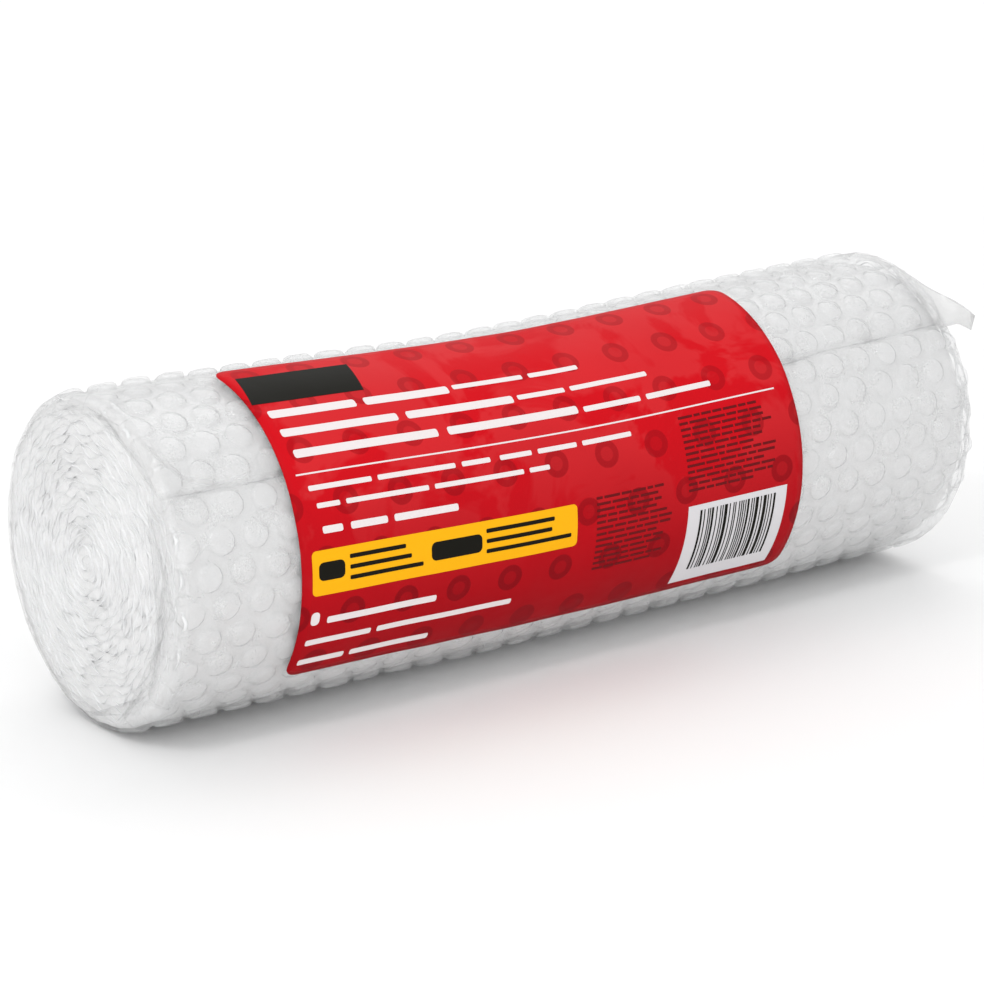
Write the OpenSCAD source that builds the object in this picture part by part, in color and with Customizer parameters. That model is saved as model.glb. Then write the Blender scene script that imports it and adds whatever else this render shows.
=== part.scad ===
// Roll of bubble wrap that lies on its side, closed by a printed label.
// X runs along the roll, Z is up, and the front with the label faces -Y.
// The origin is the middle of the small flat that the roll rests on.
// An angle of 0 round the roll faces the front and 90 is the top.

/* [Roll] */
// Width of the sheet, which is the length of the roll
sheet_w = 304.8; // [200:0.1:460]
// Radius over the bubbles, at the free edge of the outer turn
roll_r = 50.7; // [42:0.1:60]
// Distance from one turn to the next
turn_pitch = 2.6; // [2:0.1:4]
// Radius of the empty eye that the first turn closes round
eye_r = 6; // [3:0.5:12]
// Depth of the film edges between two turns, seen on the ends
turn_groove = 1.8; // [0.5:0.1:3]

/* [Bubbles] */
// Distance between neighbouring bubbles
bubble_pitch = 11.37; // [10.5:0.01:14]
// Height of a bubble over the flat film
bubble_h = 3.2; // [2:0.1:5]
// Width of the flattened top of a bubble, from corner to corner
bubble_top_w = 6.6; // [4:0.1:8]
// Corners of the top of a bubble
bubble_top_corners = 4; // [3:1:6]
// Flat film left beyond the last bubble at each end
edge_margin = 4; // [1:0.1:10]

/* [Set of the soft roll] */
// Depth that the resting side is pressed flat
flat_depth = 1.2; // [0.8:0.1:1.6]
// How much thinner the roll is where the label grips it
waist_depth = 1.3; // [0:0.1:2]
// How far the middle of the roll sags below its ends
sag = 2.4; // [0:0.1:3]
// Place of the waist along the roll
waist_x = -8; // [-30:1:30]
// Share of half the roll's length over which the waist fades
waist_spread = 0.55; // [0.4:0.05:0.8]
// Rounding of the roll's two rims
rim_r = 6.4; // [4:0.1:12]
// How far the loose film beyond the last bubbles lies below their tops
margin_drop = 0.3; // [0:0.1:1.5]
// Thickness of the lip of film that stands round an end
lip_t = 0.5; // [0.4:0.1:1]
// How far the middle of an end stands out from its rim
end_dome = 2.4; // [0.4:0.1:5]
// Rise of the free edge from the left end to the right end, in degrees
winding_skew = 8; // [0:1:12]
// Step down from the outer turn to the turn below, at the free edge
tail_step = 0.6; // [0.4:0.1:1.5]
// Height of the free edge on the front, in degrees
tail_wish = 35; // [20:1:50]

/* [Loose corner] */
// Reach of the loose film corner beyond the right end
corner_reach = 8.6; // [5:0.1:20]
// Where its upper edge leaves the roll, back from the right end
corner_root = 7.4; // [4:0.1:20]
// Highest and lowest place of the loose corner, in degrees
corner_from = 90; // [80:1:110]
corner_to = 41; // [30:1:60]
// Thickness of the loose film
corner_t = 0.5; // [0.3:0.1:1]

/* [Label] */
// Length of the label along the roll
label_l = 188; // [120:0.1:240]
// Width of the label round the roll
label_w = 109.6; // [60:0.1:140]
// Thickness of the label
label_t = 0.3; // [0.2:0.05:0.8]
// Radius of the label's corners
label_corner_r = 4.5; // [2:0.5:12]
// Middle of the label along the roll
label_x = -18.5; // [-40:0.1:40]
// Height of the middle of the label, in degrees
label_height = 23.2; // [0:0.1:40]
// Tilt of the label against the roll's length, in degrees
label_tilt = -0.7; // [-2:0.1:2]
// Stretch below the free edge that the label bridges, in degrees
label_bridge = 15; // [8:1:30]
// Gap between the label and the tops of the bubbles
label_gap = 0.15; // [0.12:0.01:0.3]

/* [Hidden] */

row_count = round(2 * PI * roll_r / (bubble_pitch * sqrt(3) / 2));
row_step = 360 / row_count;
// The row whose bubbles lie on the ground, counted from the free edge over the top
rest_row = round((270 - tail_wish) / row_step - 0.5);
tail_angle = 270 - row_step * (rest_row + 0.5);
// The lattice counts its columns in half pitches
column_count = 2 * floor((sheet_w - 2 * edge_margin) / bubble_pitch);
middle_column = column_count / 2;
// The ends of the solid roll, under the edges of the turns
end_x = sheet_w / 2 - turn_groove;
film_r = roll_r - bubble_h;
end_r = film_r - rim_r;
turn_count = floor((film_r - tail_step - eye_r) / turn_pitch);

// Spans of the label's sheet along the roll and round it
label_spans = 8;
label_rows = 20;

// The roll's surface
function bulge(x) = exp(-pow((x - waist_x) / (sheet_w / 2 * waist_spread), 2));
function rim_inset(x) =
    let (into = max(0, abs(x) - (sheet_w / 2 - rim_r)))
    rim_r - sqrt(pow(rim_r, 2) - pow(min(into, rim_r), 2));
function turn_drop(angle) = tail_step * (angle - tail_angle) / 360;
function degrees(arc) = arc / roll_r * 180 / PI;
function axis_z(x) = roll_r - waist_depth - flat_depth + sag * (1 - bulge(x));
function skewed(x, angle) = angle + winding_skew * x / sheet_w;
function on_roll(x, angle, lift) =
    let (r = roll_r - turn_drop(angle) - waist_depth * bulge(x) - rim_inset(x) + lift,
         a = skewed(x, angle))
    [x, -r * cos(a), max(0, axis_z(x) + r * sin(a))];

// The lattice of bubbles
function column_x(k) = (k - middle_column) * bubble_pitch / 2;
function in_line(row, k) = (k - middle_column + row - rest_row) % 2 == 0;
function seam_angle(line, k) =
    tail_angle + row_step * (line + (line == 0 || line == row_count ? 0 :
        in_line(line, k) ? -1 / 6 : 1 / 6));
function first_column(row) = in_line(row, 1) ? 1 : 2;
function bubbles_in(row) = floor((column_count - first_column(row) - 1) / 2) + 1;
function bubbles_before(row) = row == 0 ? 0 : bubbles_before(row - 1) + bubbles_in(row - 1);
bubble_start = [for (row = [0:row_count]) bubbles_before(row)];

seam_points = [
    for (line = [0:row_count], k = [0:column_count])
        on_roll(column_x(k), seam_angle(line, k), -bubble_h)
];
top_points = [
    for (row = [0:row_count - 1], i = [0:bubbles_in(row) - 1], s = [0:bubble_top_corners - 1])
        let (turn = 210 + 360 * s / bubble_top_corners,
             x = column_x(first_column(row) + 2 * i) + bubble_top_w / 2 * cos(turn),
             rise = degrees(bubble_top_w / 2 * sin(turn)))
        on_roll(x, tail_angle + row_step * (row + 0.5) + rise, 0)
];
// Beyond the last column the film rises to the tops, rounds off the rim and turns in as a lip.
// Each ring holds its place along the roll and its lift.
brim_x = sheet_w / 2 - rim_r / 40;
lip_x = end_x - turn_groove;
rim_rings = [
    [sheet_w / 2 - rim_r * 0.4, -margin_drop],
    [brim_x, -margin_drop],
    [lip_x, rim_inset(lip_x) - rim_inset(brim_x) - margin_drop - lip_t]
];
rim_points = [
    for (side = [-1, 1], ring = rim_rings, line = [0:row_count])
        on_roll(side * ring[0], seam_angle(line, 0), ring[1])
];
hub_points = [
    for (side = [-1, 1]) [side * (end_x + end_dome - turn_groove), 0, axis_z(side * end_x)]
];

first_top = len(seam_points);
first_rim = first_top + len(top_points);
first_hub = first_rim + len(rim_points);

function seam(line, k) = line * (column_count + 1) + k;
function top(row, i, s) =
    first_top + (bubble_start[row] + i) * bubble_top_corners + s % bubble_top_corners;
function rim(side, ring, line) =
    ring < 0 ? seam(line, side * column_count)
        : first_rim + (side * len(rim_rings) + ring) * (row_count + 1) + line;
function quad(a, b, c, d) = [[a, c, b], [a, d, c]];
// The top corner that the side e of a bubble's hexagon leans on
function leans_on(e) = round(bubble_top_corners * (2 * e + 1) / 12);

function bubble_faces(row, i) =
    let (k = first_column(row) + 2 * i,
         base = [seam(row, k - 1), seam(row, k), seam(row, k + 1),
                 seam(row + 1, k + 1), seam(row + 1, k), seam(row + 1, k - 1)])
    concat(
        [for (e = [0:5]) [base[e], top(row, i, leans_on(e)), base[(e + 1) % 6]]],
        [for (e = [0:5]) if (leans_on(e) != leans_on(e - 1))
            [base[e], top(row, i, leans_on(e) + bubble_top_corners - 1), top(row, i, leans_on(e))]],
        [for (s = [1:bubble_top_corners - 2]) [top(row, i, 0), top(row, i, s + 1), top(row, i, s)]]
    );
// Half cells of flat film fill the ends of the shorter rows
function filler_faces(row) = concat(
    first_column(row) == 2 ?
        quad(seam(row, 0), seam(row, 1), seam(row + 1, 1), seam(row + 1, 0)) : [],
    in_line(row, column_count) ?
        quad(seam(row, column_count - 1), seam(row, column_count),
             seam(row + 1, column_count), seam(row + 1, column_count - 1)) : []
);
function end_faces(line) =
    let (next = (line + 1) % (row_count + 1),
         last = len(rim_rings) - 1)
    concat(
        [for (ring = [0:last]) each quad(rim(0, ring, line), rim(0, ring - 1, line),
            rim(0, ring - 1, next), rim(0, ring, next))],
        [for (ring = [0:last]) each quad(rim(1, ring - 1, line), rim(1, ring, line),
            rim(1, ring, next), rim(1, ring - 1, next))],
        [[first_hub, rim(0, last, next), rim(0, last, line)]],
        [[first_hub + 1, rim(1, last, line), rim(1, last, next)]]
    );
// The free edge is a low wall along the roll
tail_faces = [
    for (k = [0:column_count - 1])
        each quad(seam(row_count, k), seam(row_count, k + 1), seam(0, k + 1), seam(0, k))
];

module wound_sheet() {
    polyhedron(
        points = concat(seam_points, top_points, rim_points, hub_points),
        faces = concat(
            [for (row = [0:row_count - 1], i = [0:bubbles_in(row) - 1]) each bubble_faces(row, i)],
            [for (row = [0:row_count - 1]) each filler_faces(row)],
            [for (line = [0:row_count]) each end_faces(line)],
            tail_faces
        ),
        convexity = 6
    );
}

// Height of an end over its rim: domed inside, rounded off outside
function end_rise(r) =
    r < end_r ? end_dome * (1 - pow(r / end_r, 2))
        : sqrt(pow(rim_r, 2) - pow(r - end_r, 2)) - rim_r;

// Half a circle of film edges, whose radii are all smaller by a shift
module half_turns(shift) {
    edges = [
        for (half = [0:2 * turn_count])
            let (r = eye_r + half * turn_pitch / 2 - shift)
            [r, end_rise(r) + (half % 2 == 0 ? 0 : turn_groove)]
    ];
    outer_r = edges[2 * turn_count][0];
    rotate_extrude(angle = 180, $fn = 96)
        polygon(concat([[eye_r - shift, -rim_r]], edges, [[outer_r, -rim_r]]));
}

// The spiral of film edges on one end, from half circles round two centres
module turn_edges() {
    half_turns(0);
    translate([turn_pitch / 2, 0, 0]) rotate([0, 0, 180]) half_turns(turn_pitch / 2);
}

// Corner of the outer turn's film that stands off the right end
module loose_corner() {
    middle = (corner_from + corner_to) / 2;
    half = (corner_from - corner_to) / 2;
    margin_r = roll_r - margin_drop;
    reach = margin_r * sin(half);
    root_x = sheet_w / 2 - corner_root;
    translate([0, 0, axis_z(sheet_w / 2)])
        rotate([90 - middle, 0, 0])
            translate([0, 0, margin_r * cos(half) - corner_t])
                linear_extrude(corner_t)
                    polygon([[root_x, -reach], [sheet_w / 2 + corner_reach, -reach], [root_x, reach]]);
}

module bubble_wrap() {
    color("#e9eded") {
        wound_sheet();
        translate([-end_x, 0, axis_z(-end_x)]) rotate([0, -90, 0]) turn_edges();
        translate([end_x, 0, axis_z(end_x)]) rotate([0, 90, 0]) turn_edges();
        loose_corner();
    }
}

// The label's sheet follows the tops of the bubbles and bridges the step at the free edge
label_columns = [
    for (turn = [0:30:60]) [-label_l / 2 + label_corner_r * (1 - cos(turn)), turn],
    for (i = [0:label_spans]) [(label_l / 2 - label_corner_r) * (2 * i / label_spans - 1), 90],
    for (turn = [60:-30:0]) [label_l / 2 - label_corner_r * (1 - cos(turn)), turn]
];
function label_lift(angle) =
    angle >= tail_angle ? 0 :
        turn_drop(angle) - turn_drop(angle + 360) * min(1, (tail_angle - angle) / label_bridge);
function on_label(u, v, lift) =
    let (x = label_x + u * cos(label_tilt) - v * sin(label_tilt),
         arc = u * sin(label_tilt) + v * cos(label_tilt),
         angle = label_height + degrees(arc) - winding_skew * x / sheet_w)
    on_roll(x, angle, lift + label_lift(angle));

module label() {
    last = len(label_columns) - 1;
    side = (last + 1) * (label_rows + 1);
    points = [
        for (lift = [label_gap, label_gap + label_t], i = [0:last], j = [0:label_rows])
            let (half = label_w / 2 - label_corner_r * (1 - sin(label_columns[i][1])))
            on_label(label_columns[i][0], half * (2 * j / label_rows - 1), lift)
    ];
    function at(layer, i, j) = layer * side + i * (label_rows + 1) + j;
    color("#c8202c") polyhedron(
        points = points,
        faces = concat(
            [for (i = [0:last - 1], j = [0:label_rows - 1])
                each quad(at(1, i, j), at(1, i + 1, j), at(1, i + 1, j + 1), at(1, i, j + 1))],
            [for (i = [0:last - 1], j = [0:label_rows - 1])
                each quad(at(0, i, j), at(0, i, j + 1), at(0, i + 1, j + 1), at(0, i + 1, j))],
            [for (i = [0:last - 1]) each quad(at(0, i, 0), at(0, i + 1, 0), at(1, i + 1, 0), at(1, i, 0))],
            [for (i = [0:last - 1]) each quad(at(0, i + 1, label_rows), at(0, i, label_rows),
                at(1, i, label_rows), at(1, i + 1, label_rows))],
            [for (j = [0:label_rows - 1]) each quad(at(0, 0, j + 1), at(0, 0, j),
                at(1, 0, j), at(1, 0, j + 1))],
            [for (j = [0:label_rows - 1]) each quad(at(0, last, j), at(0, last, j + 1),
                at(1, last, j + 1), at(1, last, j))]
        ),
        convexity = 4
    );
}

bubble_wrap();
label();
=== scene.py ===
"""Looks of a roll of bubble wrap that lies on its side, closed by a printed label.

The packed model is the frame. X runs along the roll, Z is up and the label faces -Y.
An angle of 0 round the roll faces the front and 90 degrees is the top.
All lengths are in metres and all angles in radians.
"""

import math
import random

import bmesh
import bpy
from bpy.props import FloatProperty, FloatVectorProperty, IntProperty, PointerProperty
from mathutils import Matrix, Vector, noise


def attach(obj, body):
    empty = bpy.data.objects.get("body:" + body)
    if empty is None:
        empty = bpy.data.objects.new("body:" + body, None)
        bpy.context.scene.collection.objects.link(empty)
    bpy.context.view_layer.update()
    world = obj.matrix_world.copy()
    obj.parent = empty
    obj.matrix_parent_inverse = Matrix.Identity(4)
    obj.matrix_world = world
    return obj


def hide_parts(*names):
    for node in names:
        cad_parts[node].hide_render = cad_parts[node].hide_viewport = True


bl_info = {
    "name": "Bubble wrap roll",
    "version": (1, 0, 0),
    "blender": (4, 5, 0),
    "location": "View3D > Sidebar > Wrap roll",
    "description": "Dresses the packed frame of a roll of bubble wrap",
    "category": "Object",
}

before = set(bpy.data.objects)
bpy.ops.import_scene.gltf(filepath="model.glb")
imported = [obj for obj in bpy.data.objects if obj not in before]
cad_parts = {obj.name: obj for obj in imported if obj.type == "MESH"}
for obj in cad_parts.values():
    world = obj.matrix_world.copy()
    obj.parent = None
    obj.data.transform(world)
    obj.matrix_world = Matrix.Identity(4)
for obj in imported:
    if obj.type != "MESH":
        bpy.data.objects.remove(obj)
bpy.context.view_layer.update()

BODY = "root"
SIDES = (-1, 1)
CELL_SIDES = 12
# Shares of a bubble's foot radius and height, from its foot to its pressed top
BUBBLE_RINGS = ((0.96, 0.4), (0.86, 0.8), (0.66, 1.0))
# Share of the bubbles' height that stands free of the loosely wound film, and the same on the ground
RELIEF = 0.52
PRESSED_RELIEF = 0.24
TURN = 2 * math.pi
# Angle over which the sheet sinks towards its free edge
EDGE_SPREAD = 0.3


def length(name, text, size):
    return FloatProperty(name=name, description=text, default=size, unit="LENGTH", precision=4)


def turn(name, text, degrees):
    return FloatProperty(name=name, description=text, default=math.radians(degrees), subtype="ANGLE")


def share(name, text, value):
    return FloatProperty(name=name, description=text, default=value, min=0, max=1, subtype="FACTOR")


def tint(name, text, colour):
    return FloatVectorProperty(
        name=name, description=text, default=(*colour, 1), size=4, min=0, max=1, subtype="COLOR"
    )


class WrapRollSizes(bpy.types.PropertyGroup):
    """The wound sheet, with the sizes of the packed model"""

    sheet_width: length("Sheet width", "Length of the roll", 0.3048)
    roll_radius: length("Roll radius", "Radius over the bubbles at the free edge", 0.0507)
    turn_pitch: length("Turn pitch", "Distance from one turn to the next", 0.0026)
    eye_radius: length("Eye radius", "Radius that the first turn closes round", 0.006)
    bubble_pitch: length("Bubble pitch", "Distance between neighbouring bubbles", 0.01137)
    bubble_height: length("Bubble height", "Height of a bubble over the film", 0.0032)
    bubble_foot: length("Bubble foot", "Radius of a bubble where it meets the film", 0.0044)
    row_count: IntProperty(name="Rows", description="Rows of bubbles in the outer turn", default=32)
    rest_row: IntProperty(name="Resting row", description="Row that lies on the ground", default=20)
    flat_depth: length("Flat", "Depth that the resting side is pressed flat", 0.0012)
    waist_depth: length("Waist", "How much the label tightens the roll", 0.0013)
    waist_x: length("Waist place", "Middle of the waist along the roll", -0.008)
    waist_spread: share("Waist spread", "Share of half the length that the waist covers", 0.55)
    sag: length("Sag", "How far the middle hangs below the ends", 0.0024)
    rim_radius: length("Rim", "Rounding of the two rims", 0.0064)
    margin_drop: length("Margin", "How far the loose margin lies below the tops of the bubbles", 0.0003)
    film_thickness: length("Film", "Distance between the flat film and the bubble film", 0.0002)
    end_dome: length("End dome", "How far an end stands out in its middle", 0.0024)
    groove: length("Groove", "Depth between two film edges on an end", 0.0018)
    winding_skew: turn("Winding skew", "Rise of the free edge along the roll", 8)
    tail_angle: turn("Free edge", "Height of the free edge", 39.375)
    tail_step: length("Free edge step", "Step down at the free edge", 0.0006)
    corner_reach: length("Corner reach", "Reach of the loose corner past the end", 0.0086)
    corner_root: length("Corner root", "Where the loose corner leaves the roll", 0.0074)
    corner_from: turn("Corner top", "Highest place of the loose corner", 90)
    corner_to: turn("Corner foot", "Lowest place of the loose corner", 41)


class WrapFilmLook(bpy.types.PropertyGroup):
    """How the clear film and the turns under it look"""

    film_colour: tint("Film", "Colour of the outer film", (0.86, 0.865, 0.87))
    # Darker grey of painted shade along creases, folds and bubble walls, and of painted reflection where the film is
    # seen edge-on
    crease_shade_colour: tint("Crease", "Colour of the film along creases and bubble walls", (0.66, 0.66, 0.66))
    film_cover: share("Film cover", "How much of the light flat film stops", 0.28)
    crease_cover: share("Crease cover", "How much of the light creased film stops", 0.5)
    loose_colour: tint("Loose film", "Colour of the loose corner", (0.72, 0.72, 0.72))
    loose_cover: share("Loose cover", "How much of the light the loose corner stops", 0.5)
    film_roughness: share("Film roughness", "Roughness of the outer film", 0.14)
    # Darker colour of painted shade in the hollows of the turns; on the ends it also mottles the film edges at
    # random
    turns_shade_and_mottle: tint("Turns", "Colour of the hollows in the turns under the film", (0.8, 0.8, 0.8))
    # Lighter colour of painted highlight on streaks and between the hollows, mixed with random cloudy tone
    turns_highlight_and_tone: tint("Bright turns", "Colour of the turns where the film is dense", (0.91, 0.91, 0.91))
    edge_colour: tint("Edges", "Colour of the film edges on the ends", (0.84, 0.845, 0.85))


class LabelSizes(bpy.types.PropertyGroup):
    """The label, with the sizes of the packed model, and its print"""

    length: length("Length", "Length of the label along the roll", 0.188)
    width: length("Width", "Width of the label round the roll", 0.1096)
    thickness: length("Thickness", "Thickness of the label", 0.0003)
    corner: length("Corner", "Radius of the label's corners", 0.0045)
    middle: length("Middle", "Middle of the label along the roll", -0.0185)
    height: turn("Height", "Height of the middle of the label", 23.2)
    tilt: turn("Tilt", "Tilt of the label against the roll", -0.7)
    bridge: turn("Bridge", "Stretch that the label bridges below the free edge", 15)
    gap: length("Gap", "Gap between the bubbles and the label", 0.00015)
    red: tint("Red", "Ground colour of the label", (0.62, 0.006, 0.012))
    # Painted sheen: a paler red in patches on the upper part of the label
    sheen_red: tint("Pale red", "Colour of the ground where the label stands off the bubbles", (0.68, 0.04, 0.045))
    # Also darkens the ground towards the label's foot as painted shade
    deep_red_and_shade: tint("Deep red", "Colour of the discs in the ground", (0.25, 0.004, 0.008))
    yellow: tint("Yellow", "Colour of the yellow field", (0.93, 0.45, 0.008))
    dark: tint("Dark", "Colour of the dark field and marks", (0.011, 0.0105, 0.008))
    white: tint("White", "Colour of the white print", (0.8, 0.74, 0.74))
    grey_white: tint("Grey white", "Colour of the field under the stripes", (0.68, 0.67, 0.69))


class StudioSettings(bpy.types.PropertyGroup):
    """Camera, floor and light"""

    eye: FloatVectorProperty(
        name="Camera", description="Place of the camera", default=(-0.6251, -0.8166, 0.3474), unit="LENGTH"
    )
    view: FloatVectorProperty(
        name="View", description="Direction of the camera", default=(0.57835, 0.76546, -0.28211)
    )
    lens: FloatProperty(name="Lens", description="Focal length in millimetres", default=126.27)
    key: FloatProperty(name="Key light", description="Power of the key light", default=7, unit="POWER")
    fill: FloatProperty(name="Fill light", description="Power of the light over the back", default=30, unit="POWER")
    front: FloatProperty(name="Front light", description="Power of the low light in front", default=8, unit="POWER")
    sky: FloatProperty(name="Sky", description="Strength of the light all round", default=0.84)
    glint: FloatProperty(name="Glints", description="Power of the small light that makes the glints", default=3, unit="POWER")
    floor: tint("Floor", "Colour of the floor", (0.91, 0.91, 0.91))
    clear_layers: IntProperty(name="Clear layers", description="Layers of film that light can pass", default=16)


class RollSurface:
    """Where the wound sheet and its label lie, as in the packed model"""

    def __init__(self, scene):
        self.roll = roll = scene.wrap_roll
        self.label = scene.wrap_label
        self.half = roll.sheet_width / 2
        self.film = roll.roll_radius - roll.bubble_height
        self.waist = roll.waist_depth
        self.reach = self.half * roll.waist_spread
        self.tail = roll.tail_angle
        self.skew = roll.winding_skew / roll.sheet_width
        self.full_turn = TURN * roll.roll_radius
        self.row_arc = self.full_turn / roll.row_count
        self.end_x = self.half - roll.groove
        self.end_r = self.film - roll.rim_radius

    def bulge(self, x):
        return math.exp(-(((x - self.roll.waist_x) / self.reach) ** 2))

    def rim_inset(self, x):
        rim = self.roll.rim_radius
        into = min(max(0, abs(x) - (self.half - rim)), rim)
        return rim - math.sqrt(rim**2 - into**2)

    def margin_rise(self, x):
        """The loose margin past the last bubbles stands nearly as high as their tops."""
        past = min(1, max(0, (abs(x) - self.half + 0.0055) / 0.0026))
        return (self.roll.bubble_height - self.roll.margin_drop) * past * past * (3 - 2 * past)

    def relief(self, angle):
        """The bubbles spread where the roll's weight presses them on the ground."""
        pressed = math.exp(-((math.remainder(angle + math.pi / 2, TURN) / 0.7) ** 2))
        return RELIEF + (PRESSED_RELIEF - RELIEF) * pressed

    def drop(self, angle):
        return self.roll.tail_step * (angle - self.tail) / TURN

    def edge_step(self, angle):
        """How far the sheet sinks towards the turn under it near its free edge."""
        near = max(0, 1 - (angle - self.tail) / EDGE_SPREAD)
        return self.roll.tail_step * near * near

    def axis(self, x):
        roll = self.roll
        return roll.roll_radius - self.waist - roll.flat_depth + roll.sag * (1 - self.bulge(x))

    def place(self, x, angle, lift, inset=1.0):
        """A point at that lift over the tops of the bubbles."""
        r = self.roll.roll_radius - self.drop(angle) - self.waist * self.bulge(x)
        r += lift - self.rim_inset(x) * inset
        a = angle + self.skew * x
        return Vector((x, -r * math.cos(a), max(0, self.axis(x) + r * math.sin(a))))

    def label_lift(self, angle):
        if angle >= self.tail:
            return 0
        over = min(1, (self.tail - angle) / self.label.bridge)
        return self.drop(angle) - self.drop(angle + TURN) * over

    def on_label(self, u, v, lift):
        """A point of the label from its own flat sheet."""
        cos, sin = math.cos(self.label.tilt), math.sin(self.label.tilt)
        x = self.label.middle + u * cos - v * sin
        arc = u * sin + v * cos
        angle = self.label.height + arc / self.roll.roll_radius - self.skew * x
        return self.place(x, angle, lift + self.label_lift(angle))

    def end_rise(self, r):
        """Height of an end over its rim."""
        if r < self.end_r:
            return self.roll.end_dome * (1 - (r / self.end_r) ** 2)
        rim = self.roll.rim_radius
        return math.sqrt(max(0, rim**2 - (r - self.end_r) ** 2)) - rim


def verts_of(geom):
    return [item for item in geom if isinstance(item, bmesh.types.BMVert)]


def edges_of(geom):
    return [item for item in geom if isinstance(item, bmesh.types.BMEdge)]


def piece(name, bm, material, stands_for=(), smooth=True):
    """Makes the finished mesh a piece that rides on the roll's body."""
    mesh = bpy.data.meshes.new(name)
    for face in bm.faces:
        face.smooth = smooth
    bm.to_mesh(mesh)
    bm.free()
    mesh.materials.append(material)
    made = bpy.data.objects.new(name, mesh)
    bpy.context.scene.collection.objects.link(made)
    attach(made, BODY)
    if stands_for:
        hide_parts(*stands_for)
    return made


def thicken(made, thickness, offset=-1.0):
    wall = made.modifiers.new("wall", "SOLIDIFY")
    wall.thickness = thickness
    wall.offset = offset
    wall.use_even_offset = False
    return wall


# ---------------------------------------------------------------- materials


class Nodes:
    """Short calls for building a node tree"""

    def __init__(self, name):
        self.material = bpy.data.materials.new(name)
        self.material.use_nodes = True
        self.tree = self.material.node_tree
        self.shader = self.tree.nodes["Principled BSDF"]

    def add(self, kind, sockets=None, **settings):
        node = self.tree.nodes.new("ShaderNode" + kind)
        for name, value in settings.items():
            setattr(node, name, value)
        for name, value in (sockets or {}).items():
            if isinstance(value, bpy.types.NodeSocket):
                self.tree.links.new(value, node.inputs[name])
            else:
                node.inputs[name].default_value = value
        return node

    def math(self, operation, *values, clamp=False):
        sockets = dict(enumerate(values))
        return self.add("Math", sockets, operation=operation, use_clamp=clamp).outputs[0]

    def noise(self, where, scale, detail=2.0, roughness=0.5, distortion=0.0):
        sockets = {"Vector": where, "Scale": scale, "Detail": detail,
                   "Roughness": roughness, "Distortion": distortion}
        return self.add("TexNoise", sockets).outputs["Fac"]

    def spread(self, value, low, high, to_low, to_high):
        sockets = {0: value, 1: low, 2: high, 3: to_low, 4: to_high}
        return self.add("MapRange", sockets).outputs[0]

    def blend(self, share, first, second):
        node = self.add("Mix", {"Factor": share}, data_type="RGBA")
        for index, value in ((6, first), (7, second)):
            if isinstance(value, bpy.types.NodeSocket):
                self.tree.links.new(value, node.inputs[index])
            else:
                node.inputs[index].default_value = value
        return node.outputs[2]

    def bump(self, height, distance, strength=1.0, under=None):
        sockets = {"Height": height, "Distance": distance, "Strength": strength}
        if under is not None:
            sockets["Normal"] = under
        return self.add("Bump", sockets).outputs["Normal"]

    def wear(self, **sockets):
        """Sets or links the sockets of the shader."""
        for name, value in sockets.items():
            socket = self.shader.inputs[name.replace("_", " ")]
            if isinstance(value, bpy.types.NodeSocket):
                self.tree.links.new(value, socket)
            else:
                socket.default_value = value
        return self.material


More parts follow.
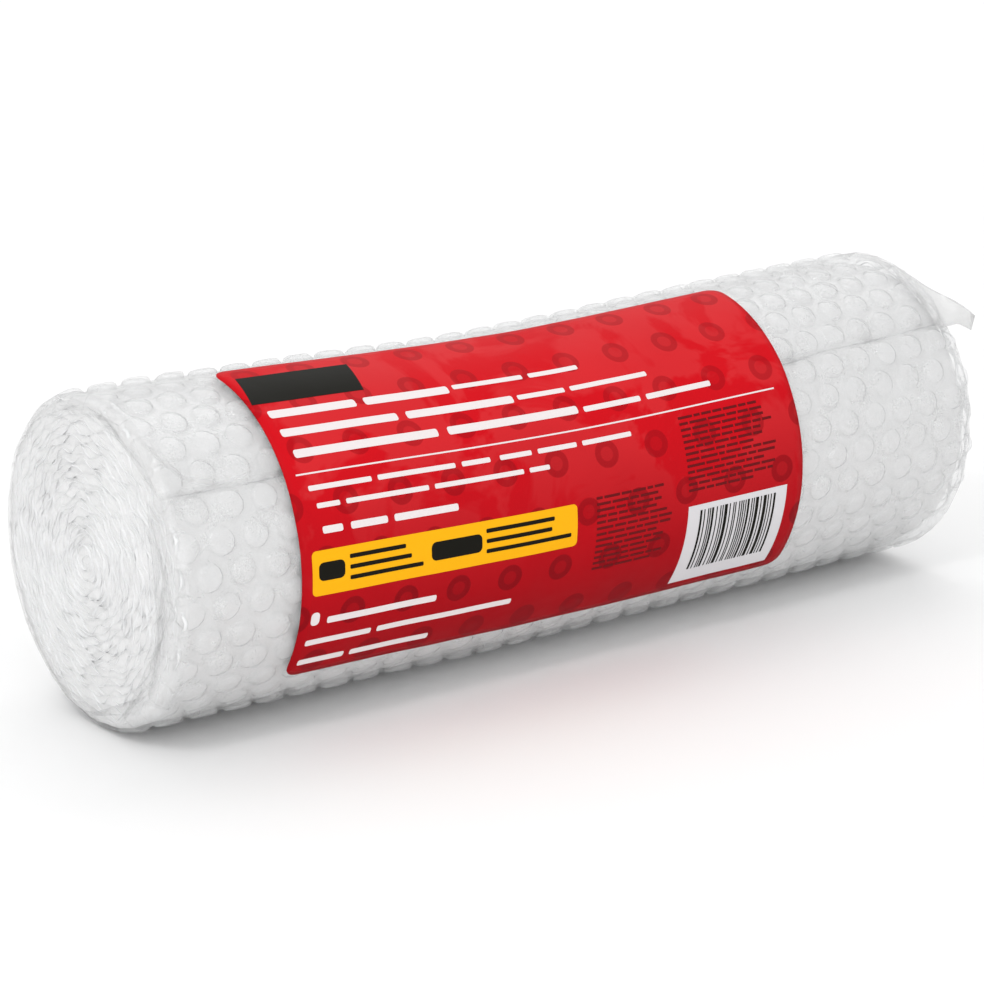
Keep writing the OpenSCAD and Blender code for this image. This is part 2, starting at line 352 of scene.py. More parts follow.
def film_material(name, look, colour, cover, surface):
    """Clear film, denser along creases and clearer towards its edges. Its colour is greyed by painted shade along
    creases, folds and bubble walls, and by painted reflection where it is seen edge-on.

    Its maps give millimetres from a bubble's middle and, on the sheet, from its middle and free edge.
    """
    n = Nodes(name)
    where = n.add("TexCoord").outputs["Object"]
    crease = n.noise(where, 420, 2, 0.6, 1.2)
    pucker = n.noise(where, 150, 2)
    from_bubble = n.add("UVMap", uv_map="flat").outputs[0]
    far = n.add("VectorMath", {0: from_bubble}, operation="LENGTH").outputs["Value"]
    # Which side of each bubble gets the painted shade
    shaded = n.add("VectorMath", {0: from_bubble, 1: (0.14, -0.19, 0)}, operation="DOT_PRODUCT").outputs["Value"]
    on_sheet = n.add("UVMap", uv_map="sheet").outputs[0]
    sheet = n.add("SeparateXYZ", {0: on_sheet})
    along, arc = sheet.outputs[0], sheet.outputs[1]
    full = surface.full_turn * 1000
    to_end = n.math("SUBTRACT", surface.half * 1000, n.math("ABSOLUTE", along))
    # Crescents of painted shade on the walls of the bubbles, on the side turned away from the light
    from_wall = n.math("ABSOLUTE", n.math("SUBTRACT", far, 4.2))
    wall = n.spread(from_wall, 0.1, 1.0, 1, 0)
    wall = n.math("MULTIPLY", wall, n.spread(pucker, 0.42, 0.62, 0, 0.6))
    wall = n.math("MULTIPLY", wall, n.spread(n.noise(where, 19, 1), 0.42, 0.62, 0.08, 1))
    wall = n.math("MULTIPLY", wall, n.spread(shaded, -0.4, 0.8, 0.1, 1))
    # Thin lines of painted shade along the creases
    line = n.math("ABSOLUTE", n.math("SUBTRACT", crease, 0.5))
    line = n.math("MULTIPLY", n.spread(line, 0.0, 0.03, 1, 0), n.spread(pucker, 0.45, 0.65, 0, 0.6))
    drift = n.math("MULTIPLY", pucker, 1.2)
    # Lines of painted shade across the loose margin at each row of bubbles
    ripple = n.math("FRACT", n.math("ADD", n.math("DIVIDE", arc, surface.row_arc * 1000), drift))
    ripple = n.spread(n.math("ABSOLUTE", n.math("SUBTRACT", ripple, 0.5)), 0.01, 0.09, 0.75, 0)
    ripple = n.math("MULTIPLY", ripple, n.spread(to_end, 1.0, 6.5, 1, 0))
    # A line of painted shade along the fold at the left end of the free edge
    fold = n.add("VectorMath", {0: on_sheet, 1: FOLD_MIDDLE}, operation="DISTANCE").outputs["Value"]
    fold = n.math("ABSOLUTE", n.math("SUBTRACT", n.math("ADD", fold, drift), FOLD_RADIUS))
    fold = n.math("MULTIPLY", n.spread(fold, 0.1, 0.9, 0.9, 0), n.spread(along, -134, -120, 1, 0))
    fold = n.math("MULTIPLY", fold, n.spread(arc, 16, 26, 1, 0))
    # Painted reflection: the film greys, and stops more light, where it is seen edge-on
    edge_on = n.spread(n.add("LayerWeight", {"Blend": 0.5}).outputs["Facing"], 0.6, 1.0, 0, 0.8)
    edge_on = n.math("MULTIPLY", edge_on, n.spread(to_end, 0.5, 3.5, 0.1, 1))
    # How much the colour is greyed with painted shade and painted reflection, and how much more light the film stops
    # there
    dense = edge_on
    for part in (wall, line, ripple, fold):
        dense = n.math("MAXIMUM", dense, part)
    colour = n.blend(dense, tuple(colour), tuple(look.crease_shade_colour))
    clear = n.math("MULTIPLY", n.spread(to_end, 0.2, 3.6, 0.3, 1), n.spread(arc, 0, 1.6, 0.3, 1))
    clear = n.math("MULTIPLY", clear, n.spread(arc, full + 0.4, full + 2.4, 1, 0))
    cover = n.math("MULTIPLY", n.spread(dense, 0, 1, cover, look.crease_cover), clear)
    normal = n.bump(pucker, 0.0012, 0.6, n.bump(crease, 0.0004, 0.55))
    return n.wear(
        Base_Color=colour, Roughness=look.film_roughness, Alpha=cover,
        IOR=1.6, Normal=normal, Specular_IOR_Level=1.0,
    )


# Middle and radius of the fold at the left end of the free edge, drawn as a line of painted shade, in millimetres on
# the sheet
FOLD_MIDDLE = (-130, 22, 0)
FOLD_RADIUS = 21.3


def turns_material(name, look, grain):
    """Many layers of crumpled film: white, with short bright streaks of painted highlight and soft grey hollows of
    painted shade.
    """
    n = Nodes(name)
    where = n.add("TexCoord").outputs["Object"]
    cells = n.add("TexVoronoi", {"Vector": where, "Scale": 92.0, "Smoothness": 0.6}, feature="SMOOTH_F1")
    # Painted shade: darker towards the borders of the cells, in the hollows between bubbles
    ring = n.spread(cells.outputs["Distance"], 0.3, 0.55, 1, 0)
    cloud = n.spread(n.noise(where, 34, 3, 0.6), 0.35, 0.65, 0, 1)
    folds = n.noise(where, grain, 4, 0.65, 1.6)
    # Painted highlight: short bright streaks along the folds
    streak = n.spread(n.math("ABSOLUTE", n.math("SUBTRACT", folds, 0.5)), 0.0, 0.06, 1, 0)
    bright = n.math("ADD", n.math("MULTIPLY", ring, 0.25), n.math("MULTIPLY", cloud, 0.3))
    bright = n.math("ADD", bright, n.math("MULTIPLY", streak, 0.45), clamp=True)
    colour = n.blend(bright, tuple(look.turns_shade_and_mottle), tuple(look.turns_highlight_and_tone))
    height = n.math("ADD", folds, n.math("MULTIPLY", streak, 0.25))
    return n.wear(Base_Color=colour, Roughness=0.45, Normal=n.bump(height, 0.0008, 0.5))


def edges_material(name, look):
    n = Nodes(name)
    where = n.add("TexCoord").outputs["Object"]
    fine = n.noise(where, 500, 3, 0.6, 1.0)
    colour = n.blend(n.spread(fine, 0.2, 0.5, 0.5, 1), tuple(look.turns_shade_and_mottle), tuple(look.edge_colour))
    return n.wear(Base_Color=colour, Roughness=0.4, Normal=n.bump(fine, 0.0005, 0.15))


def print_material(name, colour, roughness=0.35):
    n = Nodes(name)
    where = n.add("TexCoord").outputs["Object"]
    speck = n.noise(where, 900, 2, 0.6)
    worn = n.spread(speck, 0.3, 0.7, 0.9, 1.0)
    dark = tuple(c * 0.9 for c in colour[:3]) + (1,)
    ink = n.blend(worn, dark, tuple(colour))
    normal = n.bump(n.noise(where, 60, 2), 0.0006, 0.3)
    return n.wear(Base_Color=ink, Roughness=roughness, Normal=normal, Specular_IOR_Level=0.03)


def label_material(label):
    """Glossy red film with tonal discs in hexagonal rows, in the label's own millimetres. The red darkens towards
    the label's foot as painted shade and has paler patches of painted sheen on its upper part.
    """
    n = Nodes("label_print_ground")
    flat = n.add("UVMap", uv_map="flat").outputs[0]
    place = n.add("SeparateXYZ", {0: flat})
    u, v = place.outputs[0], place.outputs[1]
    across, along = 19.0, 32.9
    near = None
    for shift in (0.0, 0.5):
        cell_u = n.math("SUBTRACT", n.math("FRACT", n.math("ADD", n.math("DIVIDE", u, across), shift)), 0.5)
        cell_v = n.math("SUBTRACT", n.math("FRACT", n.math("ADD", n.math("DIVIDE", v, along), shift)), 0.5)
        du, dv = n.math("MULTIPLY", cell_u, across), n.math("MULTIPLY", cell_v, along)
        far = n.math("SQRT", n.math("ADD", n.math("MULTIPLY", du, du), n.math("MULTIPLY", dv, dv)))
        near = far if near is None else n.math("MINIMUM", near, far)
    disc = n.spread(near, 4.2, 4.5, 1, 0)
    hole = n.spread(near, 2.1, 2.4, 0.55, 0)
    tone_and_shade = n.math("MULTIPLY", n.math("SUBTRACT", disc, hole), 0.42)
    where = n.add("TexCoord").outputs["Object"]
    uneven = n.noise(where, 25, 3, 0.5)
    # Painted shade: the ground darkens towards the foot of the label
    foot = n.spread(v, 15, -50, 0, 0.7)
    tone_and_shade = n.math("ADD", tone_and_shade, n.math("ADD", foot, n.spread(uneven, 0.3, 0.7, 0, 0.12)), clamp=True)
    # Painted sheen: paler patches of red, only on the upper part of the label
    painted_sheen = n.spread(n.noise(where, 26, 4, 0.62, 0.8), 0.47, 0.53, 0, 0.5)
    painted_sheen = n.math("MULTIPLY", painted_sheen, n.spread(v, -35, 0, 0, 1))
    bright = n.blend(painted_sheen, tuple(label.red), tuple(label.sheen_red))
    ground = n.blend(tone_and_shade, bright, tuple(label.deep_red_and_shade))
    waves = n.bump(n.noise(where, 45, 2, 0.5, 0.4), 0.002, 0.35)
    return n.wear(Base_Color=ground, Roughness=0.42, Normal=waves, Specular_IOR_Level=0.03)


# ---------------------------------------------------------------- the wound film


def hexagon_reach(angle, pitch):
    """Distance from the middle of a bubble's cell to its border."""
    return pitch / 2 / math.cos((angle + math.pi / 6) % (math.pi / 3) - math.pi / 6)


def to_border(verts, roll, height):
    for v in verts:
        v.co = v.co.normalized() * hexagon_reach(math.atan2(v.co.y, v.co.x), roll.bubble_pitch)
        v.co.z = height


def cell_mesh(name, roll, row_arc, rings):
    """A cell of the sheet: flat film, and over it a bubble whose rings are shares of foot and height."""
    bm = bmesh.new()
    flat = bmesh.ops.create_circle(bm, cap_ends=True, segments=CELL_SIDES, radius=roll.bubble_foot)["verts"]
    to_border(flat, roll, -roll.film_thickness)
    upper = bmesh.ops.create_circle(bm, cap_ends=not rings, segments=CELL_SIDES, radius=roll.bubble_foot)["verts"]
    if rings:
        ring = [e for e in bm.edges if e.verts[0] in upper]
        upper = verts_of(bmesh.ops.extrude_edge_only(bm, edges=ring)["geom"])
    to_border(upper, roll, 0)
    for radius, height in rings:
        grown = bmesh.ops.extrude_edge_only(bm, edges=ring)["geom"]
        new = verts_of(grown)
        for v in new:
            v.co = v.co.normalized() * roll.bubble_foot * radius
            v.co.z = roll.bubble_height * height
        ring = [e for e in edges_of(grown) if all(v in new for v in e.verts)]
    if rings:
        bmesh.ops.contextual_create(bm, geom=ring)
    bmesh.ops.scale(bm, verts=bm.verts, vec=(1, row_arc / (roll.bubble_pitch * math.sqrt(3) / 2), 1))
    bm.normal_update()
    wrong = [f for f in bm.faces if (f.normal.z > 0) == (f.calc_center_median().z < 0)]
    bmesh.ops.reverse_faces(bm, faces=wrong)
    from_middle = bm.loops.layers.uv.new("flat")
    for face in bm.faces:
        for loop in face.loops:
            loop[from_middle].uv = loop.vert.co.xy * 1000 if rings else (0, 0)
    mesh = bpy.data.meshes.new(name)
    bm.to_mesh(mesh)
    bm.free()
    return mesh


def flat_bubble_sheet(surface, draw):
    """The outer turn laid out flat: x along the roll, y the arc from the free edge, z the lift."""
    roll = surface.roll
    domed = cell_mesh("cell", roll, surface.row_arc, BUBBLE_RINGS)
    plain = cell_mesh("plain_cell", roll, surface.row_arc, ())
    last = 2 * math.floor((roll.sheet_width - 0.008) / roll.bubble_pitch) // 2
    bm = bmesh.new()
    bm.loops.layers.uv.new("flat")
    for row in range(-1, roll.row_count + 1):
        for k in range(-last - 2, last + 3):
            if (k + row - roll.rest_row) % 2:
                continue
            cell = domed if abs(k) <= last and 0 <= row < roll.row_count else plain
            bm.from_mesh(cell)
            bm.verts.ensure_lookup_table()
            middle = Vector((k * roll.bubble_pitch / 2, (row + 0.5) * surface.row_arc, 0))
            full = draw.uniform(0.86, 1.04)
            lean = Vector((draw.gauss(0, 0.12), draw.gauss(0, 0.12), 0))
            for v in bm.verts[-len(cell.vertices):]:
                if v.co.z > 0:
                    v.co.z *= full
                    v.co += lean * v.co.z
                v.co += middle
    bpy.data.meshes.remove(domed)
    bpy.data.meshes.remove(plain)
    bmesh.ops.remove_doubles(bm, verts=bm.verts, dist=0.00005)
    return bm


def cut(bm, point, outward, clear=False):
    geom = bm.verts[:] + bm.edges[:] + bm.faces[:]
    bmesh.ops.bisect_plane(bm, geom=geom, dist=1e-6, plane_co=point, plane_no=outward, clear_outer=clear)


def puckered(co, fine, broad):
    """Displacement of soft film at a place on its flat sheet."""
    small = noise.noise_vector(co * 240) * fine
    large = noise.noise_vector(co * 24 + Vector((5, 3, 1))) * broad
    return small + large


class WRAP_OT_outer_turn(bpy.types.Operator):
    """Winds the outer turn of bubble film round the roll"""

    bl_idname = "wrap.outer_turn"
    bl_label = "Outer turn"

    def execute(self, context):
        surface = RollSurface(context.scene)
        roll = surface.roll
        look = context.scene.wrap_look
        bm = flat_bubble_sheet(surface, random.Random(11))
        under_the_edge = 0.0034
        cut(bm, (0, 0, 0), (0, -1, 0), True)
        cut(bm, (0, surface.full_turn + under_the_edge, 0), (0, 1, 0), True)
        for side in SIDES:
            for back in (0.0036, 0.0022, 0.0011, 0.0004):
                cut(bm, (side * (surface.half - back), 0, 0), (side, 0, 0))
            cut(bm, (side * (surface.half - 0.0001), 0, 0), (side, 0, 0), True)
        bmesh.ops.bridge_loops(bm, edges=[e for e in bm.edges if e.is_boundary])
        bmesh.ops.recalc_face_normals(bm, faces=bm.faces)
        on_sheet = bm.loops.layers.uv.new("sheet")
        for face in bm.faces:
            for loop in face.loops:
                loop[on_sheet].uv = loop.vert.co.xy * 1000
        for v in bm.verts:
            flat = v.co.copy()
            bend = puckered(Vector((flat.x, flat.y, max(0, flat.z))), 0.0002, 0.0005)
            margin = min(1, max(0, (abs(flat.x) - surface.half + 0.006) / 0.006))
            bend *= 1 + 2.2 * margin
            scallop = 0.5 - 0.5 * math.cos(TURN * flat.y / surface.row_arc)
            scallop = (scallop + 0.8 * noise.noise(Vector((flat.x * 3, flat.y * 160, 4)))) * margin
            angle = surface.tail + flat.y / roll.roll_radius
            bend.y += max(0, 1 - flat.y / 0.006) * noise.noise(Vector((flat.x * 55, 3, 1))) * 0.002
            x = flat.x + bend.x - math.copysign(scallop * 0.0008, flat.x) * margin
            rise = surface.margin_rise(flat.x) * (0.75 - 0.35 * scallop)
            lift = min((flat.z - roll.bubble_height) * surface.relief(angle) + rise, 0) + bend.z
            lift -= surface.edge_step(angle) * 0.5
            if flat.y > surface.full_turn - 0.001:
                lift -= 0.0003
            v.co = surface.place(x, angle + bend.y / roll.roll_radius, lift)
        film = film_material("bubble_film", look, look.film_colour, look.film_cover, surface)
        piece("outer_turn", bm, film)
        return {"FINISHED"}


class WRAP_OT_inner_turns(bpy.types.Operator):
    """Makes the turns that show through the outer film"""

    bl_idname = "wrap.inner_turns"
    bl_label = "Turns under the film"

    def execute(self, context):
        surface = RollSurface(context.scene)
        roll = surface.roll
        last = surface.half - 0.0015
        profile = []
        for step in range(24):
            share = step / 24
            profile.append((-(surface.end_x - 0.0001 + roll.end_dome * (1 - share**2)), share))
        span = 128
        profile += [(last * (2 * step / span - 1), 1) for step in range(span + 1)]
        profile += [(-x, share) for x, share in reversed(profile[:24])]
        bm = bmesh.new()
        chain = [bmesh.ops.create_vert(bm, co=(x, -share, 0))["vert"][0] for x, share in profile]
        for first, second in zip(chain, chain[1:]):
            bm.edges.new((first, second))
        bmesh.ops.spin(bm, geom=bm.verts[:] + bm.edges[:], cent=(0, 0, 0), axis=(1, 0, 0),
                       angle=TURN, steps=160, use_merge=True)
        bmesh.ops.remove_doubles(bm, verts=bm.verts, dist=1e-6)
        for v in bm.verts:
            share = math.hypot(v.co.y, v.co.z)
            turned = math.atan2(v.co.z, -v.co.y)
            x = max(-last, min(last, v.co.x))
            angle = surface.tail + (turned - surface.skew * x - surface.tail) % TURN
            under = roll.bubble_height * surface.relief(angle) + 0.0008 + surface.edge_step(angle)
            side = surface.place(x, angle, surface.margin_rise(x) * 0.4 - under, 0)
            middle = Vector((x, 0, surface.axis(x)))
            away = (side - middle).normalized()
            loose = max(0, x - surface.half + 0.014) / 0.014
            fold = abs(noise.noise(side * 110)) * 0.0012 + abs(noise.noise(side * 260)) * 0.0008
            side -= away * (surface.rim_inset(x + 0.0002) * 0.85 + fold + loose**2 * 0.004)
            at = middle.lerp(side, share)
            dent = (abs(noise.noise(at * 170)) + 0.6 * noise.noise(at * 330)) * 0.0006
            at.x = v.co.x - math.copysign(dent * (1 - share**4), x)
            at.z = max(0.0008, at.z)
            v.co = at
        bmesh.ops.recalc_face_normals(bm, faces=bm.faces)
        turns = turns_material("turns_under_the_film", context.scene.wrap_look, 330)
        piece("inner_turns", bm, turns, ("bubble_wrap",))
        return {"FINISHED"}


class WRAP_OT_turn_edges(bpy.types.Operator):
    """Winds the film edges that show on both ends of the roll"""

    bl_idname = "wrap.turn_edges"
    bl_label = "Film edges on the ends"

    def execute(self, context):
        surface = RollSurface(context.scene)
        roll = surface.roll
        material = edges_material("film_edges", context.scene.wrap_look)
        first, last = 0.0014, surface.film - 0.0014
        columns = 1500
        for side, name in zip(SIDES, ("turn_edges_left", "turn_edges_right")):
            bm = bmesh.new()
            for layer in range(2):
                grid = bmesh.ops.create_grid(bm, x_segments=columns, y_segments=3, size=0.5)["verts"]
                for v in grid:
                    along, out = v.co.x + 0.5, v.co.y + 0.5
                    r = math.sqrt(first**2 + along * (last**2 - first**2))
                    angle = surface.tail - TURN * (r - first) / roll.turn_pitch
                    where = Vector((r * math.cos(angle), r * math.sin(angle), side * 0.3 + layer * 0.02))
                    arc = along * math.pi * (last**2 - first**2) / roll.turn_pitch
                    puff = 0.0011 * (1 + math.cos(TURN * arc / roll.bubble_pitch)) * layer
                    wobble = noise.noise_vector(where * 160)
                    tip = 0.0002 + 0.0005 * (noise.noise(where * 420) + 0.5 * wobble.z)
                    ring = r + puff + wobble.x * 0.0014 + (out - 0.5) * wobble.y * 0.0014
                    dome = roll.end_dome * (1 - (r / last) ** 2)
                    x = surface.end_x + dome - 0.0009 + out * (0.0009 + tip)
                    z = surface.axis(surface.end_x) + ring * math.sin(angle)
                    v.co = Vector((side * x, -ring * math.cos(angle), max(0.0003, z)))
            made = piece(name, bm, material)
            thicken(made, 0.00012, 0)
        return {"FINISHED"}


class WRAP_OT_loose_corner(bpy.types.Operator):
    """Makes the corner of clear film that stands off the right end"""

    bl_idname = "wrap.loose_corner"
    bl_label = "Loose corner"

    def execute(self, context):
        surface = RollSurface(context.scene)
        roll = surface.roll
        look = context.scene.wrap_look
        root = surface.half - roll.corner_root
        middle = (roll.corner_from + roll.corner_to) / 2
        half = (roll.corner_from - roll.corner_to) / 2
        margin = roll.roll_radius - roll.margin_drop
        reach = margin * math.sin(half)
        out = margin * math.cos(half)
        bm = bmesh.new()
        start = root - 0.002
        tip = surface.half + roll.corner_reach
        outline = ((start, -reach), (tip - 0.0026, -reach), (tip, -reach * 0.94), (root, reach), (start, reach))
        face = bmesh.ops.contextual_create(
            bm, geom=[bmesh.ops.create_vert(bm, co=(x, y, 0))["vert"][0] for x, y in outline])["faces"]
        for step in range(1, 14):
            for normal in ((1, 0, 0), (0, 1, 0)):
                at = (start + step * 0.0015, -reach + step * 2 * reach / 14, 0)
                geom = bm.verts[:] + bm.edges[:] + bm.faces[:]
                bmesh.ops.bisect_plane(bm, geom=geom, dist=1e-6, plane_co=at, plane_no=normal)
        for name in ("flat", "sheet"):
            bm.loops.layers.uv.new(name)
        on_sheet = bm.loops.layers.uv["sheet"]
        for face in bm.faces:
            for loop in face.loops:
                x, y = loop.vert.co.xy
                loop[on_sheet].uv = (surface.half + (start - x) * 0.6) * 1000, (y + 2 * reach) * 1000
        for v in bm.verts:
            along, across = v.co.x, v.co.y
            loose = min(1, max(0, (along - root + 0.006) / 0.014))
            past = max(0, along - surface.half) / roll.corner_reach
            low = max(0, 1 - (across + reach) / (0.05 * reach))
            angle = math.asin(max(-1, min(1, across / margin)))
            round_r = margin + 0.0002
            bend = noise.noise(Vector((along * 60, across * 60, 2))) * 0.0012 * loose
            flat_up = out + 0.0006
            up = (round_r * math.cos(angle)) * (1 - loose) + (flat_up + (round_r * math.cos(angle) - flat_up) * 0.35) * loose + bend
            a = middle
            z = surface.axis(surface.half) + up * math.sin(a) + across * math.cos(a) - past * low * 0.005
            y = -up * math.cos(a) + across * math.sin(a)
            v.co = Vector((along, y, z))
        bmesh.ops.recalc_face_normals(bm, faces=bm.faces)
        film = film_material("loose_film", look, look.loose_colour, look.loose_cover, surface)
        made = piece("loose_corner", bm, film)
        thicken(made, 0.00015, 0)
        return {"FINISHED"}


# ---------------------------------------------------------------- the label


def plate(bm, u, v, width, height, corner, layer=None):
    """A flat plate with rounded corners."""
    start = len(bm.verts)
    corners = [bmesh.ops.create_vert(bm, co=(u + a * width / 2, v + b * height / 2, 0))["vert"][0]
               for a, b in ((-1, -1), (1, -1), (1, 1), (-1, 1))]
    face = bm.faces.new(corners)
    if corner > 0:
        bmesh.ops.bevel(bm, geom=corners, offset=min(corner, 0.49 * min(width, height)), offset_type="OFFSET",
                        affect="VERTICES", segments=4, profile=0.5, material=-1)
    return start


def strips(bm, low, high, step, normal):
    place = low + step
    while place < high:
        geom = bm.verts[:] + bm.edges[:] + bm.faces[:]
        co = tuple(place * n for n in normal)
        bmesh.ops.bisect_plane(bm, geom=geom, dist=1e-6, plane_co=co, plane_no=normal)
        place += step


def bend_on_label(bm, surface, lift, waves):
    layer = bm.loops.layers.uv.new("flat")
    for face in bm.faces:
        for loop in face.loops:
            loop[layer].uv = (loop.vert.co.x * 1000, loop.vert.co.y * 1000)
    for v in bm.verts:
        u, w = v.co.x, v.co.y
        wave = (noise.noise(Vector((u * 45, w * 45, 8))) + 0.6) * waves
        v.co = surface.on_label(u, w, lift + max(0, wave))


class WRAP_OT_label(bpy.types.Operator):
    """Lays the printed label round the front of the roll"""

    bl_idname = "wrap.label"
    bl_label = "Label"

    def execute(self, context):
        surface = RollSurface(context.scene)
        label = surface.label
        bm = bmesh.new()
        plate(bm, 0, 0, label.length, label.width, label.corner)
        strips(bm, -label.length / 2, label.length / 2, 0.0035, (1, 0, 0))
        strips(bm, -label.width / 2, label.width / 2, 0.0025, (0, 1, 0))
        bend_on_label(bm, surface, label.gap + label.thickness, LABEL_WAVE)
        bmesh.ops.recalc_face_normals(bm, faces=bm.faces)
        face_out(bm)
        made = piece("label_sheet", bm, label_material(label), ("label",))
        made.data.materials.append(print_material("label_back", label.white))
        thicken(made, label.thickness).material_offset = 1
        return {"FINISHED"}


LABEL_WAVE = 0.00025
PRINT_LIFT = 0.00006
PRINT_SCALE = (0.000988, 0.000975)
BAR_SHARE = 0.8


def face_out(bm):
    """Turns a sheet on the front of the roll so that it faces away from the roll."""
    if sum(f.normal.y for f in bm.faces) > 0:
        bmesh.ops.reverse_faces(bm, faces=bm.faces)


# Fields of print on the label, in millimetres from its middle: left, right, top, bottom
WHITE_WORDS = (
    ((-90.8, -60.6), 33.4, 27.0, 0.58), ((-57.6, -27.2), 33.4, 27.0, 0.58),
    ((-25.4, 0.6), 32.8, 28.8, 0.55), ((3.0, 21.6), 32.8, 28.8, 0.55),
    ((-90.4, -49.6), 25.8, 20.2, 0.6), ((-46.4, -7.2), 25.8, 20.2, 0.6),
    ((-5.4, 12.4), 25.2, 21.3, 0.55), ((14.6, 44.0), 25.2, 21.3, 0.55),
    ((-89.4, -38.6), 18.5, 12.9, 0.6), ((-35.0, 13.6), 18.5, 12.9, 0.6),
    ((15.8, 37.6), 17.4, 13.2, 0.55), ((40.0, 65.2), 17.4, 13.2, 0.55),
)
SMALL_WORDS = (
    ((-88.6, -66.6), 6.7, 2.8, 0.5), ((-64.4, -36.4), 6.7, 2.8, 0.5), ((-34.0, -23.6), 6.7, 2.8, 0.5),
    ((-20.0, -8.2), 6.7, 2.8, 0.5), ((-5.8, 9.0), 6.7, 2.8, 0.5), ((11.2, 30.0), 6.7, 2.8, 0.5),
    ((-87.2, -79.2), 1.3, -2.5, 0.5), ((-77.0, -47.6), 1.3, -2.5, 0.5), ((-45.4, -12.6), 1.3, -2.5, 0.5),
    ((-10.4, -2.8), 1.3, -2.5, 0.5),
    ((-86.8, -79.8), -5.1, -10.5, 0.5), ((-77.0, -64.0), -5.1, -10.5, 0.5), ((-61.6, -38.4), -5.1, -10.5, 0.5),
    ((-91.4, -88.4), -30.6, -38.3, 0.7), ((-85.6, -46.4), -32.8, -38.3, 0.5),
    ((-91.8, -68.6), -40.2, -45.3, 0.5), ((-66.4, -16.8), -40.2, -45.3, 0.5),
    ((-92.2, -76.0), -47.6, -53.3, 0.5), ((-73.8, -45.4), -47.6, -53.3, 0.5),
)
YELLOW_FIELD = (-91.6, 5.2, -13.5, -27.1)
DARK_FIELD = (-92.3, -53.4, 49.4, 35.0)
DARK_SLANT = 0.2
CODE_FIELD = (48.8, 88.8, -22.5, -52.5)
DARK_WORDS = (
    ((-89.4, -80.4), -15.6, -24.2, 0.8), ((-49.4, -30.8), -15.6, -24.6, 0.8),
    ((-78.6, -58.6), -15.4, -18.0, 0.62), ((-78.6, -56.6), -18.6, -21.2, 0.62), ((-78.6, -52.4), -21.8, -24.4, 0.62),
    ((-29.2, -3.6), -15.4, -18.0, 0.62), ((-29.2, -4.6), -18.6, -21.2, 0.62), ((-29.2, 2.8), -21.8, -24.4, 0.62),
)
FINE_BLOCKS = ((48.8, 85.6, 6.6, -18.8, 13), (12.8, 43.4, -12.8, -38.6, 13))


def word_plates(bm, words):
    for (left, right), top, bottom, fill in words:
        tall = (top - bottom) * fill * BAR_SHARE * PRINT_SCALE[1]
        wide = (right - left) * PRINT_SCALE[0]
        middle = (left + right) / 2 * PRINT_SCALE[0], (top + bottom) / 2 * PRINT_SCALE[1]
        plate(bm, *middle, wide, tall, tall * 0.3)


def field_plate(bm, field, corner=0.0):
    left, right, top, bottom = (value * PRINT_SCALE[i // 2] for i, value in enumerate(field))
    plate(bm, (left + right) / 2, (top + bottom) / 2, right - left, top - bottom, corner)


def print_piece(name, bm, surface, material, level):
    label = surface.label
    strips(bm, -label.length / 2, label.length / 2, 0.0035, (1, 0, 0))
    strips(bm, -label.width / 2, label.width / 2, 0.0025, (0, 1, 0))
    bend_on_label(bm, surface, label.gap + label.thickness + PRINT_LIFT * level, LABEL_WAVE)
    bmesh.ops.recalc_face_normals(bm, faces=bm.faces)
    for island in (bm.faces,):
        for f in island:
            if f.normal.dot(f.calc_center_median() - Vector((f.calc_center_median().x, 0, 0.048))) < 0:
                f.normal_flip()
    for edge in bm.edges:
        edge.smooth = not edge.is_boundary
    made = piece(name, bm, material)
    thicken(made, PRINT_LIFT * 0.8)
    return made


class WRAP_OT_label_print(bpy.types.Operator):
    """Prints the label's fields of colour and plain bars"""

    bl_idname = "wrap.label_print"
    bl_label = "Print on the label"

    def execute(self, context):
        surface = RollSurface(context.scene)
        label = surface.label
        draw = random.Random(5)
        white = print_material("white_print", label.white)
        dark = print_material("dark_print", label.dark)
        yellow = print_material("yellow_print", label.yellow)

        bm = bmesh.new()
        word_plates(bm, WHITE_WORDS + SMALL_WORDS)
        field_plate(bm, (-91.4, 88.6, 9.45, 8.95))
        print_piece("white_bars", bm, surface, white, 1)

        bm = bmesh.new()
        field_plate(bm, CODE_FIELD)
        print_piece("stripe_field", bm, surface, print_material("stripe_field_print", label.grey_white), 1)

        bm = bmesh.new()
        field_plate(bm, YELLOW_FIELD, 0.0015)
        print_piece("yellow_field", bm, surface, yellow, 1)

        bm = bmesh.new()
        field_plate(bm, DARK_FIELD)
        middle = (DARK_FIELD[2] + DARK_FIELD[3]) / 2 * PRINT_SCALE[1]
        for v in bm.verts:
            v.co.x += (v.co.y - middle) * DARK_SLANT
        print_piece("dark_field", bm, surface, dark, 1)

        bm = bmesh.new()
        word_plates(bm, DARK_WORDS)
        place = 53.6
        while place < 84.6:
            wide = draw.choice((0.4, 0.4, 0.8, 1.2))
            field_plate(bm, (place, place + wide, -24.5, -46.9))
            place += wide + draw.choice((0.4, 0.5, 0.8, 1.1))
        print_piece("dark_marks", bm, surface, dark, 2)

        bm = bmesh.new()
        for left, right, top, bottom, lines in FINE_BLOCKS:
            step = (top - bottom) / lines
            for line in range(lines):
                high = top - line * step
                end = right - draw.uniform(0, 0.25) * (right - left)
                at = left
                while at < end - 2:
                    wide = min(draw.uniform(2, 7), end - at)
                    field_plate(bm, (at, at + wide, high, high - step * 0.42))
                    at += wide + 0.7
        fine = print_material("fine_print", (0.14, 0.01, 0.012, 1))
        print_piece("fine_print", bm, surface, fine, 1)
        return {"FINISHED"}


# ---------------------------------------------------------------- the stage


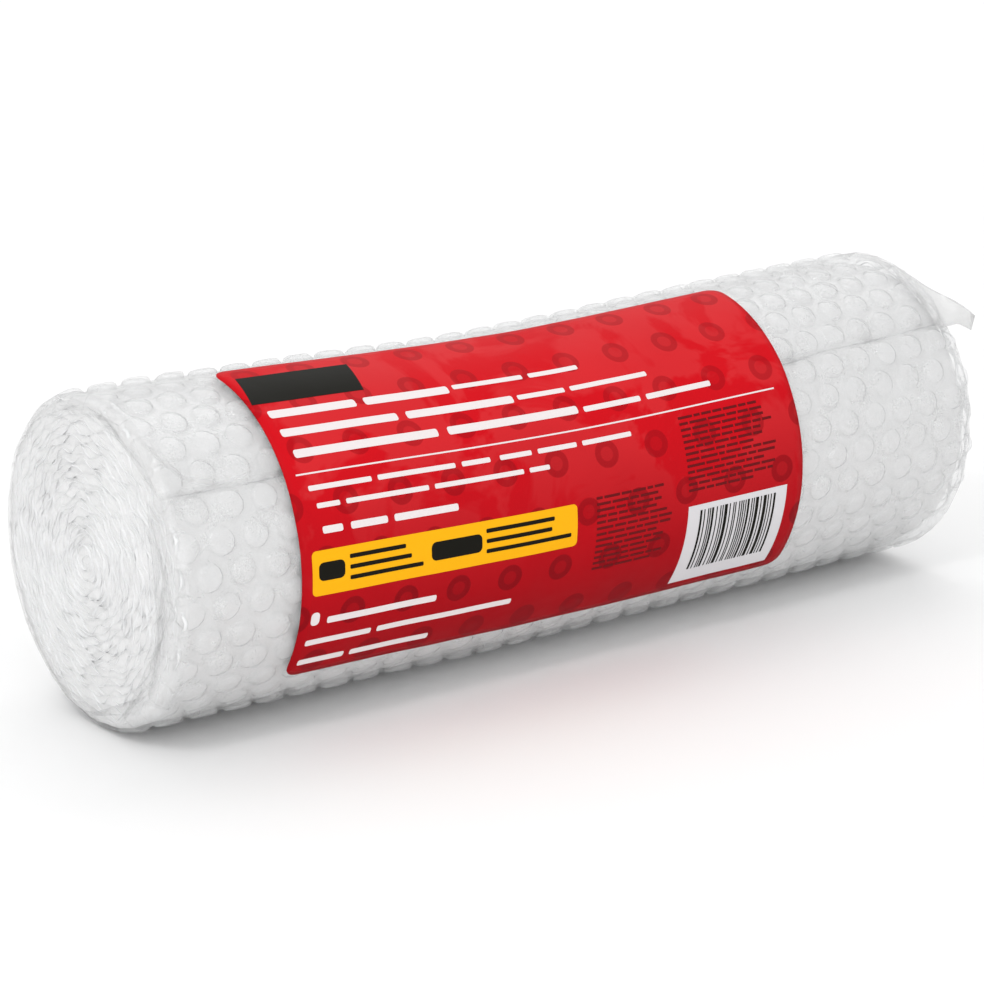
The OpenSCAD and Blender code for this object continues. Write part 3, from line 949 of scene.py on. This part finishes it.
def softbox(name, place, aim, size, power):
    light = bpy.data.lights.new(name, "AREA")
    light.shape = "RECTANGLE"
    light.size, light.size_y = size
    light.energy = power
    lamp = bpy.data.objects.new(name, light)
    lamp.location = place
    lamp.rotation_euler = (Vector(aim) - Vector(place)).to_track_quat("-Z", "Y").to_euler()
    bpy.context.scene.collection.objects.link(lamp)


class WRAP_OT_stage(bpy.types.Operator):
    """Sets the floor, the light and the camera"""

    bl_idname = "wrap.stage"
    bl_label = "Floor, light and camera"

    def execute(self, context):
        scene = context.scene
        studio = scene.wrap_studio
        bm = bmesh.new()
        bmesh.ops.create_grid(bm, x_segments=1, y_segments=1, size=12)
        mesh = bpy.data.meshes.new("floor")
        bm.to_mesh(mesh)
        bm.free()
        n = Nodes("pale_floor")
        mesh.materials.append(n.wear(Base_Color=tuple(studio.floor), Roughness=0.7, Specular_IOR_Level=0.1))
        floor = bpy.data.objects.new("floor", mesh)
        scene.collection.objects.link(floor)

        world = bpy.data.worlds.new("studio")
        scene.world = world
        world.use_nodes = True
        sky = world.node_tree.nodes["Background"]
        sky.inputs["Color"].default_value = (1, 1, 1, 1)
        sky.inputs["Strength"].default_value = studio.sky
        softbox("key", (-1.3, -1.3, 2.4), (0, 0, 0.05), (2.6, 2.0), studio.key)
        softbox("front", (-0.9, -2.2, 0.45), (0, 0, 0.03), (2.4, 0.8), studio.front)
        softbox("top", (1.2, 1.8, 2.6), (1.0, 1.4, 0), (3.0, 3.0), studio.fill)
        softbox("glint", (-0.9, -0.5, 1.2), (0, 0, 0.05), (0.22, 0.22), studio.glint)
        scene.view_settings.view_transform = "Standard"
        scene.cycles.transparent_max_bounces = studio.clear_layers

        camera = bpy.data.cameras.new("camera")
        camera.sensor_width = 36
        camera.lens = studio.lens
        camera.clip_start, camera.clip_end = 0.01, 60
        viewer = bpy.data.objects.new("camera", camera)
        viewer.location = studio.eye
        viewer.rotation_euler = Vector(studio.view).to_track_quat("-Z", "Y").to_euler()
        scene.collection.objects.link(viewer)
        scene.camera = viewer
        return {"FINISHED"}


class WRAP_PT_panel(bpy.types.Panel):
    """Sizes, colours and steps of the roll"""

    bl_idname = "WRAP_PT_panel"
    bl_label = "Wrap roll"
    bl_space_type = "VIEW_3D"
    bl_region_type = "UI"
    bl_category = "Wrap roll"

    def draw(self, context):
        for group in GROUPS:
            box = self.layout.box()
            box.label(text=group[1].__doc__)
            held = getattr(context.scene, group[0])
            for name in group[1].__annotations__:
                box.prop(held, name)
        for step in STEPS:
            self.layout.operator(step.bl_idname)


GROUPS = (
    ("wrap_roll", WrapRollSizes),
    ("wrap_look", WrapFilmLook),
    ("wrap_label", LabelSizes),
    ("wrap_studio", StudioSettings),
)
STEPS = (
    WRAP_OT_inner_turns,
    WRAP_OT_outer_turn,
    WRAP_OT_turn_edges,
    WRAP_OT_loose_corner,
    WRAP_OT_label,
    WRAP_OT_label_print,
    WRAP_OT_stage,
)


def register():
    for name, group in GROUPS:
        bpy.utils.register_class(group)
        setattr(bpy.types.Scene, name, PointerProperty(type=group))
    for step in (*STEPS, WRAP_PT_panel):
        bpy.utils.register_class(step)


def unregister():
    for step in reversed((*STEPS, WRAP_PT_panel)):
        bpy.utils.unregister_class(step)
    for name, group in reversed(GROUPS):
        delattr(bpy.types.Scene, name)
        bpy.utils.unregister_class(group)


def main():
    register()
    for step in STEPS:
        group, name = step.bl_idname.split(".")
        getattr(getattr(bpy.ops, group), name)()


if __name__ == "__main__":
    main()
